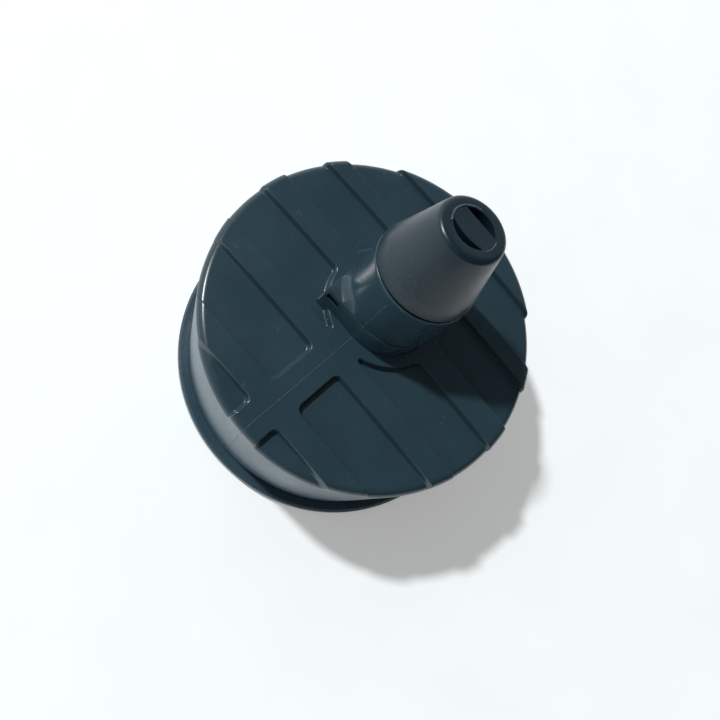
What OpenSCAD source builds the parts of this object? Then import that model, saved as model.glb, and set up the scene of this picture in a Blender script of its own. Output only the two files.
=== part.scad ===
// Liquor pour spout: a ribbed round cap that pushes over a bottle's neck, with a
// leaning cone nozzle that twists to shut off the flow.
// Millimetres. +Z is up and the flange's flat underside lies in the plane z = 0.
// +Y runs along the cap's raised spine, the way the nozzle leans, and +X along its ribs.
// The origin is the centre of the flange's underside.

/* [Cap] */

// Radius of the drum at its top rim
rim_r = 21; // [18:0.5:26]
// Height of the rim between two ribs
rim_z = 19; // [17:0.5:24]
// Radius of the drum's outside at its foot
foot_r = 20; // [19.5:0.5:25]
// Radius of the drum's inside
drum_bore_r = 18.2; // [17:0.1:19]
// How far the face's centre stands above its rim
dome_rise = 0.63; // [0.3:0.05:2]
// Depth of the inside's flat ceiling below the rim
roof_t = 1.5; // [1:0.1:3]
// Rounding of the drum's top edge
edge_r = 1; // [0.4:0.1:1.5]
// How far the ribs and the spine stand above the pockets
rib_h = 0.9; // [0.4:0.1:1.5]
// Half the width of the spine
spine_half = 1.95; // [1:0.05:4]
// Rounding of the pockets' inner corners
pocket_r = 0.95; // [0.3:0.05:2]

/* [Base ring] */

// Radius of the flange the cap stands on
flange_r = 21.4; // [20.5:0.1:26]
// Thickness of the flange
flange_t = 1.4; // [0.8:0.1:3]
// Radial play of the bottle's neck in the flange's hole
flange_lead = 0.7; // [0.3:0.1:1.5]
// Height of the ring's upstand inside the drum
upstand_h = 3.6; // [2:0.1:6]
// Wall of the upstand
upstand_t = 1.1; // [0.8:0.1:1.6]

/* [Neck sleeve] */

// Radius of the sleeve's hole, which grips the bottle's neck
neck_r = 14.7; // [12:0.05:16]
// Height of the sleeve's top
sleeve_top_z = 10.4; // [8:0.1:12]
// Radial gap between the spring band and the drum
band_gap = 0.3; // [0.1:0.1:0.6]
// Thickness of the spring band
band_t = 0.45; // [0.2:0.05:1]
// Width of the spring band
band_w = 2.2; // [1:0.1:3]
// Inside radius of the gasket under the plate
gasket_bore_r = 9.2; // [7:0.1:12]
// Thickness of the gasket
gasket_t = 1.3; // [0.6:0.1:2]

/* [Plate and stem] */

// Space between the gasket and the plate
plate_gap = 0.2; // [0.05:0.05:0.5]
// Thickness of the plate
plate_t = 1.7; // [1:0.1:3]
// Outside radius of the fixed stem
stem_r = 3.1; // [2.4:0.05:4]
// Radius of the flow passage in the stem
flow_r = 2.1; // [1.2:0.05:2.5]
// Height of the stem's closed end above the nozzle's lower rim
stem_top = 3.9; // [3.2:0.1:5]
// Width of the two windows that let the flow out of the stem
window_w = 2.4; // [1.5:0.1:3.5]
// Radius of the strainer disc
strainer_r = 4.3; // [3:0.1:5]
// Radius of the strainer's holes
strainer_hole_r = 0.35; // [0.2:0.05:0.6]

/* [Boss] */

// Lean of the nozzle's axis from upright, in degrees
tilt = 13; // [0:1:30]
// Position along Y of the centre of the nozzle's lower rim
nozzle_y = 3.83; // [0:0.1:8]
// Height of the centre of the nozzle's lower rim above the cap's rim
nozzle_rise = 11.2; // [9:0.1:15]
// Outside radius of the boss's leaning tube
boss_r = 6.05; // [5:0.1:8]
// Length of the leaning tube below the nozzle
tube_h = 7.65; // [4:0.1:10]
// How far the tube stands out past the upright plinth under it
tube_lip = 0.1; // [0.05:0.05:0.3]
// Width of the raised round the plinth stands on, past the plinth
collar_w = 1.5; // [0.8:0.1:3]

/* [Vent] */

// Width of the air slot in the plinth's front
slot_w = 1.9; // [1:0.1:2.5]
// Height of the air slot
slot_h = 1.1; // [0.6:0.1:1.5]
// Radius of the upright air duct behind the slot
duct_r = 0.75; // [0.4:0.05:1]
// Distance of the breather from the cap's axis
breather_reach = 7.2; // [6:0.1:8]
// Outside radius of the breather's stub
breather_r = 1.5; // [1:0.1:2]
// Radius of the breather's air hole
breather_bore_r = 0.8; // [0.4:0.05:1]
// Radius of the valve ball
ball_r = 1.1; // [0.9:0.05:1.4]
// Lift of the valve ball off its seat
ball_lift = 0.8; // [0.3:0.1:1]

/* [Nozzle] */

// How far the nozzle's lower rim stands out past the boss's tube
cone_lip = 0.3; // [0.1:0.05:1]
// Outside radius of the nozzle's tip
tip_r = 3.95; // [3:0.05:5]
// Length of the nozzle's cone
cone_h = 9.15; // [6:0.1:14]
// Wall of the cone
cone_wall = 0.95; // [0.6:0.05:1.5]
// Rounding of the tip's outer edge
tip_edge_r = 0.7; // [0.3:0.1:1.2]
// Radius of the round the two pouring slots are cut in
slot_round_r = 2.5; // [1.2:0.05:3]
// Width of the bridge between the pouring slots
bridge_w = 2.4; // [1:0.1:3]
// Length of the spigot below the cone
spigot_h = 9.6; // [8.8:0.1:10]
// Wall of the spigot
spigot_wall = 0.93; // [0.8:0.01:1.5]

/* [Fits] */

// Radial clearance of the nozzle's spigot in the boss
spigot_fit = 0.08; // [0.03:0.01:0.1]
// Radial clearance of the spigot round the stem
stem_fit = 0.07; // [0.03:0.01:0.1]
// Clearance between pieces that are pressed or laid together
seat_fit = 0.02; // [0.01:0.01:0.05]
// Clearance of a sealing ring from the wall it runs on
seal_fit = 0.03; // [0.01:0.01:0.05]
// Gap between the nozzle's lower rim and the boss
rim_gap = 0.25; // [0.1:0.05:0.5]

/* [Output] */

/* [Hidden] */

$fn = 96;
eps = 0.01;

// The face is a shallow dome: its sphere's radius and the height of the sphere's centre
dome_r = (rim_r * rim_r + dome_rise * dome_rise) / (2 * dome_rise);
dome_c = rim_z + dome_rise - dome_r;
// A circle this large needs short steps to stay close to its true arc
dome_fn = 1440;
// The ribs end a hair inside the rim, so their ends never share the drum's wall
rib_end_r = rim_r - 0.06;
// The edge rounding is set this much high, so the dome crosses it at a clear angle
edge_lift = 0.03;
drum_z = flange_t + seat_fit;
ceiling_z = rim_z - roof_t;
flange_bore_r = neck_r + flange_lead;
upstand_bore_r = drum_bore_r - upstand_t;
band_r = drum_bore_r - band_gap;
band_z = flange_t + upstand_h + 1.6;
plate_z = sleeve_top_z + gasket_t + plate_gap;

// The nozzle's spigot is a running fit round the stem and in the boss
spigot_bore_r = stem_r + stem_fit;
spigot_r = spigot_bore_r + spigot_wall;
boss_bore_r = spigot_r + spigot_fit;
nozzle_z = rim_z + nozzle_rise;
plinth_r = boss_r - tube_lip;
collar_r = plinth_r + collar_w;
cone_r = boss_r + cone_lip;

// Ribs lie between the pockets: where each pocket starts and ends along Y
pocket_1_end = -17.75;
pocket_2_start = -14.85;
pocket_2_end = -8.3;
pocket_3_start = -5.6;
pocket_3_end = 0.5;
pocket_4_start = 3.6;
pocket_4_end = 9.35;
pocket_5_start = 11.45;
pocket_5_end = 17;

// Centre of the crease, where the upright plinth meets the leaning tube
crease_y = nozzle_y - tube_h * sin(tilt);
crease_z = nozzle_z - tube_h * cos(tilt);
plinth_front = crease_y - plinth_r;
// The air duct stands in the plinth's square corner
duct_x = -plinth_r + duct_r + 0.6;
duct_y = plinth_front + duct_r + 0.5;
slot_top_z = crease_z + plinth_r * sin(tilt) - 0.75;

plate_top = plate_z + plate_t;
plate_r = drum_bore_r - seat_fit;
ledge_r = drum_bore_r - 1.2;
// Where the stem's axis meets the plate, measured down the nozzle's axis
stem_root = (nozzle_z - plate_z) / cos(tilt) + 1;
cup_r = strainer_r + 1.1;
cup_z = sleeve_top_z + 0.25;

// The spigot's upper part, inside the cone, is thinner so the flow can pass round it
crown_r = spigot_bore_r + 0.55;
crown_top = stem_top - 0.1;
web_t = 1;
tip_wall = 1.05;
counter_r = boss_bore_r + 0.5;
counter_s = -spigot_h + 1.1;
clip_t = 0.6;
clip_groove_r = spigot_r - 0.4;
clip_r = counter_r - 0.15;

// Windows of the rotary shut-off, measured up from the nozzle's lower rim
window_low = 1.2;
window_high = 2.8;
ring_low_s = 0.35;
ring_high_s = 3.35;
ring_sect = 0.25;
spigot_ring_s = -4;
plate_ring_sect = 0.4;

breather_len = breather_reach / norm([duct_x, duct_y]);
breather_x = duct_x * breather_len;
breather_y = duct_y * breather_len;
seat_z = plate_top + 0.7;
seat_r = breather_r + 0.6;
ball_z = seat_z + sqrt(ball_r * ball_r - breather_bore_r * breather_bore_r) + 0.04;
cage_bore_r = ball_r + 0.12;
cage_r = cage_bore_r + 0.4;
cage_in_z = ball_z + ball_r + ball_lift + 0.1;
cage_top_z = cage_in_z + 0.3;

sleeve_low_r = upstand_bore_r - seat_fit;
sleeve_high_r = drum_bore_r - seat_fit;
sleeve_step_z = flange_t + upstand_h + seat_fit;

// Draws its children in the nozzle's leaning frame, with its lower rim's centre as origin
module nozzle_frame() {
    translate([0, nozzle_y, nozzle_z]) rotate([-tilt, 0, 0]) children();
}

// Height of the face above a point at radius r, between two ribs
function face_z(r) = dome_c + sqrt(dome_r * dome_r - r * r);

// The drum's half section up to the dome, raised by h and ending at radius r_end
module drum_section(h, r_end, low_z, low_r) {
    in_r = r_end - edge_r;
    edge_z = face_z(in_r) - edge_r + edge_lift + h;
    intersection() {
        translate([0, dome_c + h]) circle(r = dome_r, $fn = dome_fn);
        union() {
            polygon([[0, low_z], [low_r, low_z], [r_end, edge_z], [in_r, edge_z],
                     [in_r, rim_z + h + 2], [0, rim_z + h + 2]]);
            translate([in_r, edge_z]) circle(r = edge_r);
        }
    }
}

// One pocket of the face, on the +X side, with its inner corners rounded
module pocket_plan(y0, y1) {
    translate([spine_half + pocket_r, y0]) square([rim_r, y1 - y0]);
    translate([spine_half, y0 + pocket_r]) square([rim_r, y1 - y0 - 2 * pocket_r]);
    for (y = [y0 + pocket_r, y1 - pocket_r])
        translate([spine_half + pocket_r, y]) circle(r = pocket_r, $fn = 48);
}

module pockets_plan() {
    for (m = [0, 1]) mirror([m, 0]) difference() {
        union() {
            pocket_plan(-rim_r - 2, pocket_1_end);
            pocket_plan(pocket_2_start, pocket_2_end);
            pocket_plan(pocket_3_start, pocket_3_end);
            pocket_plan(pocket_4_start, pocket_4_end);
            pocket_plan(pocket_5_start, pocket_5_end);
        }
        translate([0, crease_y]) circle(r = collar_r);
    }
}

// The raised layer of the face: the spine, the ribs and the round under the boss
module raised_face() {
    intersection() {
        rotate_extrude() drum_section(rib_h, rib_end_r, rim_z - 3, rib_end_r - 0.1);
        translate([0, 0, rim_z - 3]) linear_extrude(height = 6) difference() {
            circle(r = rim_r + 1);
            pockets_plan();
        }
    }
}

// The upright plinth: round, with a square corner at its left front that holds the duct
module plinth() {
    difference() {
        translate([0, 0, rim_z - 0.5]) union() {
            translate([0, crease_y, 0]) cylinder(r = plinth_r, h = 8);
            translate([-plinth_r, plinth_front, 0]) cube([plinth_r, plinth_r, 8]);
        }
        nozzle_frame() translate([-15, -15, -tube_h]) cube([30, 30, 20]);
    }
}

module boss_tube() {
    nozzle_frame() translate([0, 0, -tube_h - 1]) difference() {
        cylinder(r = boss_r, h = tube_h + 1 - rim_gap);
        translate([-10, -10, 0]) cube([20, 20, 1 - eps]);
    }
}

module head_shell() {
    color("#35414a") difference() {
        union() {
            rotate_extrude() drum_section(0, rim_r, drum_z, foot_r);
            raised_face();
            plinth();
            boss_tube();
        }
        // Inside of the drum, stepped so the plate rests against a ledge
        translate([0, 0, -1]) cylinder(r = drum_bore_r, h = plate_top + seat_fit + 1);
        translate([0, 0, plate_top - 1]) cylinder(r = ledge_r, h = ceiling_z - plate_top + 1);
        // Recess in the ceiling over the valve's cage
        translate([breather_x, breather_y, ceiling_z - 1])
            cylinder(r = cage_r + 0.25, h = max(cage_top_z + 0.2 - ceiling_z, -0.5) + 1, $fn = 48);
        // Hole for the nozzle's spigot, wider below its clip
        nozzle_frame() translate([0, 0, -spigot_h]) cylinder(r = boss_bore_r, h = spigot_h + 1);
        nozzle_frame() translate([0, 0, counter_s - 6.5]) cylinder(r = counter_r, h = 6.5);
        // Air slot in the plinth's front, and the duct behind it
        translate([duct_x, duct_y, ceiling_z - 1])
            cylinder(r = duct_r, h = slot_top_z - ceiling_z + 1, $fn = 48);
        translate([duct_x - slot_w / 2, plinth_front - 1, slot_top_z - slot_h])
            cube([slot_w, duct_y - plinth_front + 1, slot_h]);
    }
}

module base_ring() {
    color("#35414a") difference() {
        union() {
            cylinder(r = flange_r, h = flange_t - 0.3);
            translate([0, 0, flange_t - 0.3]) cylinder(r1 = flange_r, r2 = flange_r - 0.3, h = 0.3);
            cylinder(r = drum_bore_r - seat_fit, h = flange_t + upstand_h);
        }
        translate([0, 0, -1]) cylinder(r = flange_bore_r, h = flange_t + 2);
        translate([0, 0, flange_t]) cylinder(r = upstand_bore_r, h = upstand_h + 1);
    }
}

// The soft sleeve that grips the bottle's neck, grooved for the spring band
module neck_sleeve() {
    color("#20262a") difference() {
        union() {
            translate([0, 0, flange_t + seat_fit])
                cylinder(r = sleeve_low_r, h = sleeve_top_z - flange_t - seat_fit);
            translate([0, 0, sleeve_step_z])
                cylinder(r = sleeve_high_r, h = sleeve_top_z - sleeve_step_z);
        }
        translate([0, 0, -1]) cylinder(r = neck_r, h = sleeve_top_z + 2);
        translate([0, 0, band_z - seat_fit]) difference() {
            cylinder(r = sleeve_high_r + 1, h = band_w + 2 * seat_fit);
            translate([0, 0, -1]) cylinder(r = band_r - band_t - seat_fit, h = band_w + 3);
        }
    }
}

module grip_band() {
    color("#9aa0a4") translate([0, 0, band_z])
        rotate([0, 0, 100]) rotate_extrude(angle = 340)
            translate([band_r - band_t, 0]) square([band_t, band_w]);
}

module mouth_gasket() {
    color("#1b2023") translate([0, 0, sleeve_top_z + seat_fit]) difference() {
        cylinder(r = drum_bore_r - 0.3, h = gasket_t);
        translate([0, 0, -1]) cylinder(r = gasket_bore_r, h = gasket_t + 2);
    }
}

// The fixed plate across the drum, with its strainer cup below and its leaning stem above
module core_plate() {
    color("#2c363d") difference() {
        union() {
            translate([0, 0, plate_z]) cylinder(r = plate_r, h = plate_t);
            translate([0, 0, cup_z]) cylinder(r = cup_r, h = plate_z - cup_z + eps);
            intersection() {
                nozzle_frame() translate([0, 0, -stem_root])
                    cylinder(r = stem_r, h = stem_root + stem_top);
                translate([-10, -10, plate_z + plate_t / 2]) cube([20, 20, 60]);
            }
        }
        // Strainer cup
        translate([0, 0, cup_z - 1]) cylinder(r = strainer_r + seat_fit, h = plate_z - cup_z + 1);
        // Flow passage, from the cup up to the windows
        nozzle_frame() translate([0, 0, -stem_root - 1])
            cylinder(r = flow_r, h = stem_root + 1 + window_high);
        nozzle_frame() translate([-window_w / 2, -stem_r - 1, window_low])
            cube([window_w, 2 * stem_r + 2, window_high - window_low]);
        // Grooves for the stem's two sealing rings
        for (s = [ring_low_s, ring_high_s]) nozzle_frame() translate([0, 0, s]) ring_groove(stem_r);
        // Groove for the plate's sealing ring
        translate([0, 0, plate_z + plate_t / 2 - plate_ring_sect]) difference() {
            cylinder(r = plate_r + 1, h = 2 * plate_ring_sect);
            translate([0, 0, -1])
                cylinder(r = plate_r - 2 * plate_ring_sect + seal_fit, h = 2 * plate_ring_sect + 2);
        }
        // Hole for the breather
        translate([breather_x, breather_y, plate_z - 1])
            cylinder(r = breather_r, h = plate_t + 2, $fn = 48);
    }
}

// A square groove round a shaft of radius r, for a ring of the small section
module ring_groove(r) {
    difference() {
        translate([0, 0, -ring_sect - seat_fit]) cylinder(r = r + 1, h = 2 * (ring_sect + seat_fit));
        translate([0, 0, -1]) cylinder(r = r + ring_out - 2 * ring_sect, h = 2);
    }
}

// How far the small rings stand out of their shafts
ring_out = stem_fit - seal_fit;

module sealing_ring(r, sect) {
    rotate_extrude() translate([r - sect, 0]) circle(r = sect, $fn = 32);
}

module plate_oring() {
    color("#15191c") translate([0, 0, plate_z + plate_t / 2])
        sealing_ring(drum_bore_r - seal_fit, plate_ring_sect - seat_fit);
}

module stem_oring_low() {
    color("#15191c") nozzle_frame() translate([0, 0, ring_low_s])
        sealing_ring(stem_r + ring_out, ring_sect - seat_fit);
}

module stem_oring_high() {
    color("#15191c") nozzle_frame() translate([0, 0, ring_high_s])
        sealing_ring(stem_r + ring_out, ring_sect - seat_fit);
}

// Perforated disc that keeps fruit and cork out of the stem
module strainer_disc() {
    pitch = 3 * strainer_hole_r;
    color("#8f969a") translate([0, 0, plate_z - 0.3 - seat_fit]) difference() {
        cylinder(r = strainer_r, h = 0.3);
        for (i = [-3:3], j = [-3:3])
            if (norm([i, j]) * pitch < strainer_r - 1.1)
                translate([i * pitch, j * pitch, -1]) cylinder(r = strainer_hole_r, h = 2, $fn = 24);
    }
}

module strainer_ring() {
    color("#2c363d") translate([0, 0, cup_z + 0.1]) difference() {
        cylinder(r = strainer_r, h = plate_z - cup_z - 0.1 - 0.3 - 2 * seat_fit);
        translate([0, 0, -1]) cylinder(r = strainer_r - 0.7, h = 5);
    }
}

// Short breather through the plate, with the valve's seat on top
module breather_stub() {
    color("#2c363d") translate([breather_x, breather_y, 0]) difference() {
        union() {
            translate([0, 0, cup_z]) cylinder(r = breather_r - seat_fit, h = seat_z - cup_z, $fn = 48);
            translate([0, 0, plate_top + seat_fit])
                cylinder(r = seat_r, h = seat_z - plate_top - seat_fit, $fn = 48);
        }
        translate([0, 0, cup_z - 1]) cylinder(r = breather_bore_r, h = seat_z, $fn = 48);
    }
}

module valve_ball() {
    color("#b9bec2") translate([breather_x, breather_y, ball_z]) sphere(r = ball_r, $fn = 48);
}

// Cage that keeps the ball over its seat, with three windows for the air
module valve_cage() {
    color("#2c363d") translate([breather_x, breather_y, seat_z + seat_fit]) difference() {
        cylinder(r = cage_r, h = cage_top_z - seat_z - seat_fit, $fn = 48);
        translate([0, 0, -1]) cylinder(r = cage_bore_r, h = cage_in_z - seat_z - seat_fit + 1, $fn = 48);
        for (a = [30, 150, 270]) rotate([0, 0, a]) translate([0, -0.5, 0.7]) cube([4, 1, 1.2]);
    }
}

// Porous plug in the duct, which keeps insects out
module duct_filter() {
    color("#6f7679") translate([duct_x, duct_y, ceiling_z + 0.4])
        cylinder(r = duct_r - seat_fit, h = 2, $fn = 48);
}

// Outside radius of the cone at height s above its lower rim
function cone_at(s) = cone_r + (tip_r - cone_r) * s / cone_h;

module cone_section() {
    edge_s = cone_h - tip_edge_r;
    edge_at = cone_at(edge_s) - tip_edge_r;
    difference() {
        union() {
            polygon([[0, 0.3], [spigot_r, 0.3], [spigot_r, 0], [cone_r - 0.25, 0], [cone_r, 0.25],
                     [cone_at(edge_s), edge_s], [edge_at, edge_s], [edge_at, cone_h], [0, cone_h]]);
            translate([edge_at, edge_s]) circle(r = tip_edge_r, $fn = 64);
        }
        // Hollow of the cone
        polygon([[0, web_t], [cone_at(web_t) - cone_wall, web_t],
                 [cone_at(cone_h - tip_wall) - cone_wall, cone_h - tip_wall], [0, cone_h - tip_wall]]);
    }
}

// The turning nozzle: its cone, its spigot in the boss, and its crown round the stem's end
module nozzle_cone() {
    color("#35414a") nozzle_frame() difference() {
        union() {
            rotate_extrude() cone_section();
            translate([0, 0, -spigot_h]) cylinder(r = spigot_r, h = spigot_h + web_t / 2);
            cylinder(r = crown_r, h = crown_top);
        }
        translate([0, 0, -spigot_h - 1]) cylinder(r = spigot_bore_r, h = spigot_h + 1 + crown_top + 0.5);
        // Windows that line up with the stem's when the nozzle is open
        translate([-window_w / 2, -crown_r - 0.5, window_low])
            cube([window_w, 2 * crown_r + 1, window_high - window_low]);
        // Two pouring slots, one on each side of the bridge
        translate([0, 0, cone_h - tip_wall - 0.5]) difference() {
            cylinder(r = slot_round_r, h = tip_wall + 1, $fn = 64);
            translate([-4, -bridge_w / 2, -1]) cube([8, bridge_w, tip_wall + 3]);
        }
        // Grooves for the spigot's sealing ring and for the clip
        translate([0, 0, spigot_ring_s]) ring_groove(spigot_r);
        translate([0, 0, counter_s - clip_t - 0.1]) difference() {
            cylinder(r = spigot_r + 1, h = clip_t + 0.02);
            translate([0, 0, -1]) cylinder(r = clip_groove_r, h = clip_t + 2);
        }
    }
}

module nozzle_oring() {
    color("#15191c") nozzle_frame() translate([0, 0, spigot_ring_s])
        sealing_ring(spigot_r + ring_out, ring_sect - seat_fit);
}

// Open ring that keeps the spigot from being pulled out of the boss
module nozzle_clip() {
    color("#8f969a") nozzle_frame() translate([0, 0, counter_s - clip_t - 0.09])
        rotate([0, 0, 120]) rotate_extrude(angle = 300)
            translate([clip_groove_r + seat_fit, 0]) square([clip_r - clip_groove_r - seat_fit, clip_t]);
}

head_shell();
base_ring();
neck_sleeve();
grip_band();
mouth_gasket();
core_plate();
plate_oring();
strainer_disc();
strainer_ring();
breather_stub();
valve_cage();
valve_ball();
duct_filter();
stem_oring_low();
stem_oring_high();
nozzle_cone();
nozzle_oring();
nozzle_clip();
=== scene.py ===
# %% [markdown]
# # A liquor pour spout
# This lesson dresses a finished frame: a ribbed round cap that pushes over a bottle's
# neck, with a small cone nozzle that leans out of its face. The frame brings every piece
# at its true size and place. What is left is what a buyer sees: moulded faces with soft
# edges, the thin line where two halves of a mould met, and the finish of each plastic,
# rubber and steel. All sizes below are millimetres until a mesh is made from them.

# %% Load the frame
import math

import bmesh
import bpy
from mathutils import Matrix, Vector


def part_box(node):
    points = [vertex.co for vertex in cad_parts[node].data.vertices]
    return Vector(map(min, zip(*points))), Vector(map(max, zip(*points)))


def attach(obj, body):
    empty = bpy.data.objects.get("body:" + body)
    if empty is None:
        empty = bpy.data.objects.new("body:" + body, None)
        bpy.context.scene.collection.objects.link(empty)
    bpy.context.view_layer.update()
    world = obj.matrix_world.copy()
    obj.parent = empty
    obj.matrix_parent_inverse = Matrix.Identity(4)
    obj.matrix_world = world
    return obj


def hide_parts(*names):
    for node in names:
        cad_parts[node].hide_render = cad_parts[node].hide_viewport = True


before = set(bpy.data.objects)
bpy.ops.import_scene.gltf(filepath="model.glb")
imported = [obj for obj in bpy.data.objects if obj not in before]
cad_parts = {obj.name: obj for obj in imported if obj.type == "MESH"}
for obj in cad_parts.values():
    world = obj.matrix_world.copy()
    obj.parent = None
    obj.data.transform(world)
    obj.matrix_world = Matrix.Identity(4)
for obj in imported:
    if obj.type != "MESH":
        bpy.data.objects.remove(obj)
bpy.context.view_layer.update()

MM = 0.001
print("pieces in the frame:", len(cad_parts))

# %% [markdown]
# ## One way to write colour
# A colour is written as the hex value that a paint card or a browser shows. Cycles works
# in linear light, so one function turns the hex value into linear numbers. The cap's two
# tones are close: the second is the same plastic where handling has paled it.

# %% Colours
def linear(hex_colour):
    parts = [int(hex_colour[i:i + 2], 16) / 255 for i in (1, 3, 5)]
    return [c / 12.92 if c <= 0.04045 else ((c + 0.055) / 1.055) ** 2.4 for c in parts] + [1.0]


def grey(level):
    return (level, level, level, 1.0)


CHARCOAL = "#293e48"
CHARCOAL_WORN = "#2e4550"
print("charcoal in linear light:", [round(c, 4) for c in linear(CHARCOAL)[:3]])

# %% [markdown]
# ## The cap's sizes
# These are the sizes the frame was built to. The pieces below are drawn from them, so
# that a finished piece lies where the plain one lay. The face is a shallow dome, and its
# pockets are listed by where each one starts and ends along the spine.

# %% Sizes of the cap
RIM_R, RIM_Z, EDGE_R = 21.0, 19.0, 1.0
FACE_R = RIM_R - EDGE_R
DOME_RISE = 0.63
DOME_R = (RIM_R ** 2 + DOME_RISE ** 2) / (2 * DOME_RISE)
RIB_H = 0.9
SPINE_HALF, CORNER_R = 1.95, 0.95
POCKETS = [(-30.0, -17.75), (-14.85, -8.3), (-5.6, 0.5), (3.6, 9.35), (11.45, 17.0)]
# How wide a pocket's sloping side is, and how round it turns where it meets the collar
WALL_RUN, BLEND_R = 0.36, 0.65
# The wall, from just under the rim to its foot, then the drum's inside
WALL_R, WALL_TOP = RIM_R - 0.02, 17.9
FOOT_R, FOOT_Z, FOOT_BEVEL = 20.0, 1.42, 0.15
INSIDE_R, LEDGE_R, LEDGE_Z, CEILING_Z = 18.2, 17.0, 13.62, 17.5

shell_low, shell_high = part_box("head_shell")
print("the cap is", round((shell_high[0] - shell_low[0]) / MM, 2), "mm across, drawn as", 2 * RIM_R)

# %% [markdown]
# ## Where the nozzle stands
# The tube and the nozzle share one leaning axis. LEAN carries a shape that is drawn
# upright about the origin to its place on that axis, with the cone's rim at height zero.
# The crease is where the leaning tube meets the upright plinth.

# %% Sizes of the tube and the nozzle's axis
NOZZLE_Y, NOZZLE_Z, TILT = 3.83, 30.2, math.radians(13)
TUBE_H, TUBE_R = 7.65, 6.05
PLINTH_R, COLLAR_R = 5.95, 7.45
CREASE_Y = NOZZLE_Y - TUBE_H * math.sin(TILT)
CREASE_Z = NOZZLE_Z - TUBE_H * math.cos(TILT)
LEAN = Matrix.Translation((0, NOZZLE_Y, NOZZLE_Z)) @ Matrix.Rotation(-TILT, 4, "X")
# The bore the nozzle's spigot turns in, and the wider one below COUNTER_S
BORE_R, COUNTER_R, COUNTER_S = 4.18, 4.68, -8.5
print("the tube meets the plinth at y", round(CREASE_Y, 2), "z", round(CREASE_Z, 2))

# %% [markdown]
# ## The camera
# The cap is looked at steeply from above and in front, at macro distance, so it shows
# strong perspective. The camera is rolled, so the spine of the cap runs up to the right.
# Its three directions are worked out from three angles, which is easier to adjust than a
# matrix of numbers.

# %% Camera
def place_camera(azimuth, elevation, roll, distance, target):
    az, el, ro = (math.radians(a) for a in (azimuth, elevation, roll))
    ahead = Vector((math.sin(az) * math.cos(el), math.cos(az) * math.cos(el), -math.sin(el)))
    right = Vector((math.cos(az), -math.sin(az), 0))
    up = right.cross(ahead)
    rolled_right = right * math.cos(ro) + up * math.sin(ro)
    rolled_up = up * math.cos(ro) - right * math.sin(ro)
    turn = Matrix((rolled_right, rolled_up, -ahead)).transposed().to_4x4()
    camera = bpy.data.objects.new("camera", bpy.data.cameras.new("camera"))
    camera.matrix_world = Matrix.Translation((target - ahead * distance) * MM) @ turn
    return camera


camera = place_camera(azimuth=-2.34, elevation=67.09, roll=46.93, distance=106.0, target=Vector((0, 0, 10)))
camera.data.sensor_width = 36.0
camera.data.lens = 40.59
camera.data.shift_x = 0.0122
camera.data.shift_y = -0.0274
camera.data.clip_start = 0.005
bpy.context.scene.collection.objects.link(camera)
bpy.context.scene.camera = camera
print("camera stands at", [round(v / MM, 1) for v in camera.location], "mm")

# %% [markdown]
# ## A node in one call
# A material is a small graph. Every node is added the same way: its type, its settings
# and what feeds each of its inputs, by name or as an underscore and a number. A colour
# ramp also has stops, each a place and a colour. One function does all that, so that
# each material below reads as a list of what it is made of.

# %% Node helper
NOISE, CELLS, RAMP = "ShaderNodeTexNoise", "ShaderNodeTexVoronoi", "ShaderNodeValToRGB"
MATHS, MIX, RANGE = "ShaderNodeMath", "ShaderNodeMix", "ShaderNodeMapRange"


def add(tree, kind, settings=None, stops=(), **inputs):
    node = tree.nodes.new(kind)
    for key, value in (settings or {}).items():
        setattr(node, key, value)
    for i, (place, colour) in enumerate(stops):
        node.color_ramp.elements[i].position = place
        node.color_ramp.elements[i].color = colour
    for key, value in inputs.items():
        socket = node.inputs[int(key[1:]) if key[1:].isdigit() else key.replace("_", " ")]
        if isinstance(value, bpy.types.NodeSocket):
            tree.links.new(value, socket)
        else:
            socket.default_value = value
    return node


def new_material(name):
    material = bpy.data.materials.new(name)
    material.use_nodes = True
    material.node_tree.nodes.clear()
    return material, material.node_tree


print("short names for six kinds of node, first", NOISE)

# %% [markdown]
# ## The white table
# The cap stands on a plain white table. A big flat square makes it, with a faint tooth in
# its tone so that it isn't quite even. It gives off a little light of its own, which
# stands in for the light that a white room sends back and keeps the shadow pale.

# %% Floor
def make_floor():
    mesh = bpy.data.meshes.new("floor")
    bm = bmesh.new()
    bmesh.ops.create_grid(bm, x_segments=1, y_segments=1, size=1.5)
    bm.to_mesh(mesh)
    bm.free()
    floor = bpy.data.objects.new("floor", mesh)
    bpy.context.scene.collection.objects.link(floor)
    material, tree = new_material("white table")
    at = add(tree, "ShaderNodeTexCoord").outputs["Object"]
    tooth = add(tree, NOISE, Vector=at, Scale=1 / (14 * MM), Detail=4.0)
    sheet = add(tree, RAMP, stops=((0.35, linear("#eef7f9")), (0.7, linear("#f2fbfd"))),
                Fac=tooth.outputs["Fac"])
    paper = add(tree, "ShaderNodeBsdfDiffuse", Color=sheet.outputs["Color"])
    glow = add(tree, "ShaderNodeEmission", Color=linear("#fff9f4"), Strength=0.30)
    both = add(tree, "ShaderNodeAddShader", _0=paper.outputs[0], _1=glow.outputs[0])
    add(tree, "ShaderNodeOutputMaterial", Surface=both.outputs[0])
    mesh.materials.append(material)
    return floor


floor = make_floor()
print("floor is", round(floor.dimensions.x, 2), "m wide")

# %% [markdown]
# ## Daylight
# The room is brighter on the left, as beside a window, and dim straight above. That is
# what satin plastic mirrors, so it decides where the cap looks pale and where it stays
# dark. A ramp from right to left gives the walls, and height blends them into the ceiling.

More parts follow.
